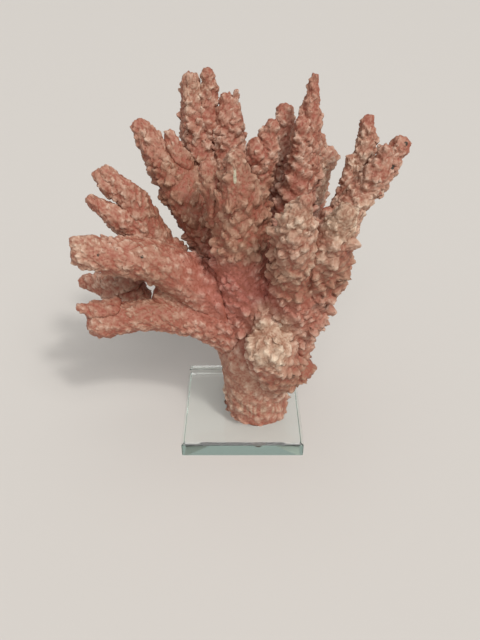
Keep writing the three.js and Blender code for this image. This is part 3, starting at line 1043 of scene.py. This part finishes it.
# Back limbs
# Three limbs and a single finger of lime that grew from the back of the stem's top. They stand
# behind the front ones, the left two with forked tips that reach nearly as high as the tall limb.
LIMB_BACK_LEFT_SHOOTS = [
    [
        (-0.004, 0.018, 0.124, 0.018), (-0.025, 0.042, 0.188, 0.016),
        (-0.034, 0.056, 0.241, 0.013), (-0.038, 0.06, 0.274, 0.007),
    ],
    [(-0.027, 0.054, 0.236, 0.009), (-0.025, 0.058, 0.265, 0.007), (-0.025, 0.058, 0.28, 0.004)],
]
grow_limb("limb_back_left", "coral_limb_back_left", LIMB_BACK_LEFT_SHOOTS)

LIMB_BACK_CENTRE_SHOOTS = [
    [
        (0.0, 0.02, 0.13, 0.016), (-0.005, 0.038, 0.178, 0.015), (-0.01, 0.05, 0.228, 0.013),
        (-0.011, 0.054, 0.261, 0.007),
    ],
    [(-0.008, 0.049, 0.238, 0.007), (-0.005, 0.052, 0.269, 0.0025)],
]
grow_limb("limb_back_centre", "coral_limb_back_centre", LIMB_BACK_CENTRE_SHOOTS)

LIMB_BACK_FINGER_SHOOTS = [
    [
        (0.02, 0.022, 0.128, 0.013), (0.029, 0.038, 0.172, 0.011), (0.032, 0.048, 0.202, 0.011),
        (0.031, 0.06, 0.253, 0.007),
    ],
]
grow_limb("limb_back_finger", "coral_limb_back_finger", LIMB_BACK_FINGER_SHOOTS)

LIMB_BACK_RIGHT_SHOOTS = [
    [(0.026, 0.024, 0.122, 0.016), (0.053, 0.056, 0.184, 0.01), (0.066, 0.068, 0.217, 0.009)],
    [(0.055, 0.057, 0.19, 0.009), (0.059, 0.066, 0.232, 0.005)],
]
grow_limb("limb_back_right", "coral_limb_back_right", LIMB_BACK_RIGHT_SHOOTS)


# Rear limbs
# Four plain limbs of lime that grew from the stem toward the back. They make the coral a bush that
# is full from every side.
LIMB_REAR_LEFT_SHOOTS = [
    [
        (-0.008, 0.018, 0.112, 0.016), (-0.03, 0.054, 0.15, 0.014), (-0.046, 0.078, 0.184, 0.012),
        (-0.054, 0.092, 0.212, 0.006),
    ],
]
grow_limb("limb_rear_left", "coral_limb_rear_left", LIMB_REAR_LEFT_SHOOTS)

LIMB_REAR_CENTRE_SHOOTS = [
    [
        (0.004, 0.022, 0.11, 0.016), (0.006, 0.06, 0.146, 0.015), (0.004, 0.084, 0.182, 0.012),
        (0.0, 0.096, 0.206, 0.006),
    ],
]
grow_limb("limb_rear_centre", "coral_limb_rear_centre", LIMB_REAR_CENTRE_SHOOTS)

LIMB_REAR_RIGHT_SHOOTS = [
    [
        (0.02, 0.018, 0.108, 0.016), (0.046, 0.054, 0.142, 0.013), (0.06, 0.08, 0.172, 0.011),
        (0.068, 0.094, 0.198, 0.006),
    ],
]
grow_limb("limb_rear_right", "coral_limb_rear_right", LIMB_REAR_RIGHT_SHOOTS)

LIMB_REAR_LOW_SHOOTS = [
    [(0.008, 0.012, 0.084, 0.016), (0.002, 0.046, 0.102, 0.013), (-0.004, 0.072, 0.122, 0.007)],
]
grow_limb("limb_rear_low", "coral_limb_rear_low", LIMB_REAR_LOW_SHOOTS)


# Table and light
# A plain pale matt table that the base stands on. A lamp with a wide halo lights it from the front
# right, two wide soft lamps from the front and from overhead, and the bright room from all round.
FLOOR_HALF_SIDE = 8.0
FLOOR_DROP = 0.0001
FLOOR_COLOUR = (0.592, 0.572, 0.548, 1)
FLOOR_ROUGHNESS = 0.7
FLOOR_GLOSS = 0.2
ROOM_COLOUR = (1.0, 0.985, 0.96, 1)
ROOM_STRENGTH = 0.38
KEY_FROM = (0.38, -0.50, 0.78)
KEY_STRENGTH = 0.95
KEY_ANGLE = math.radians(5)
HALO_STRENGTH = 0.95
HALO_ANGLE = math.radians(22)
KEY_COLOUR = (1.0, 0.97, 0.93)
OVERHEAD_FROM = (0.05, 0.10, 1.0)
OVERHEAD_STRENGTH = 0.30
FRONT_FROM = (0.0, -0.747, 0.665)
FRONT_STRENGTH = 1.05
FRONT_ANGLE = math.radians(30)
SOFT_ANGLE = math.radians(40)
SOFT_COLOUR = (1.0, 0.98, 0.96)


def add_sun(name, source, strength, angle, colour):
    """A far lamp that shines from the direction of `source` and looks `angle` wide from here."""
    lamp = bpy.data.lights.new(name, "SUN")
    lamp.energy = strength
    lamp.angle = angle
    lamp.color = colour
    made = bpy.data.objects.new(name, lamp)
    x, y, z = source
    made.rotation_euler = (math.atan2(math.hypot(x, y), z), 0, math.atan2(x, -y))
    bpy.context.scene.collection.objects.link(made)


floor_corners = [(-1, -1), (1, -1), (1, 1), (-1, 1)]
floor_points = [(x * FLOOR_HALF_SIDE, y * FLOOR_HALF_SIDE, -FLOOR_DROP) for x, y in floor_corners]
floor_mesh = bpy.data.meshes.new("table")
floor_mesh.from_pydata(floor_points, [], [(0, 1, 2, 3)])
floor = bpy.data.objects.new("table", floor_mesh)
bpy.context.scene.collection.objects.link(floor)
table_paint = bpy.data.materials.new("table_paint")
table_paint.use_nodes = True
paint = table_paint.node_tree.nodes["Principled BSDF"]
paint.inputs["Base Color"].default_value = FLOOR_COLOUR
paint.inputs["Roughness"].default_value = FLOOR_ROUGHNESS
paint.inputs["Specular IOR Level"].default_value = FLOOR_GLOSS
floor_mesh.materials.append(table_paint)

room = bpy.data.worlds.new("room")
room.use_nodes = True
room.node_tree.nodes["Background"].inputs["Color"].default_value = ROOM_COLOUR
room.node_tree.nodes["Background"].inputs["Strength"].default_value = ROOM_STRENGTH
bpy.context.scene.world = room
add_sun("key_lamp", KEY_FROM, KEY_STRENGTH, KEY_ANGLE, KEY_COLOUR)
add_sun("key_halo", KEY_FROM, HALO_STRENGTH, HALO_ANGLE, KEY_COLOUR)
add_sun("overhead_lamp", OVERHEAD_FROM, OVERHEAD_STRENGTH, SOFT_ANGLE, SOFT_COLOUR)
add_sun("front_lamp", FRONT_FROM, FRONT_STRENGTH, FRONT_ANGLE, SOFT_COLOUR)
bpy.context.scene.view_settings.view_transform = "Standard"
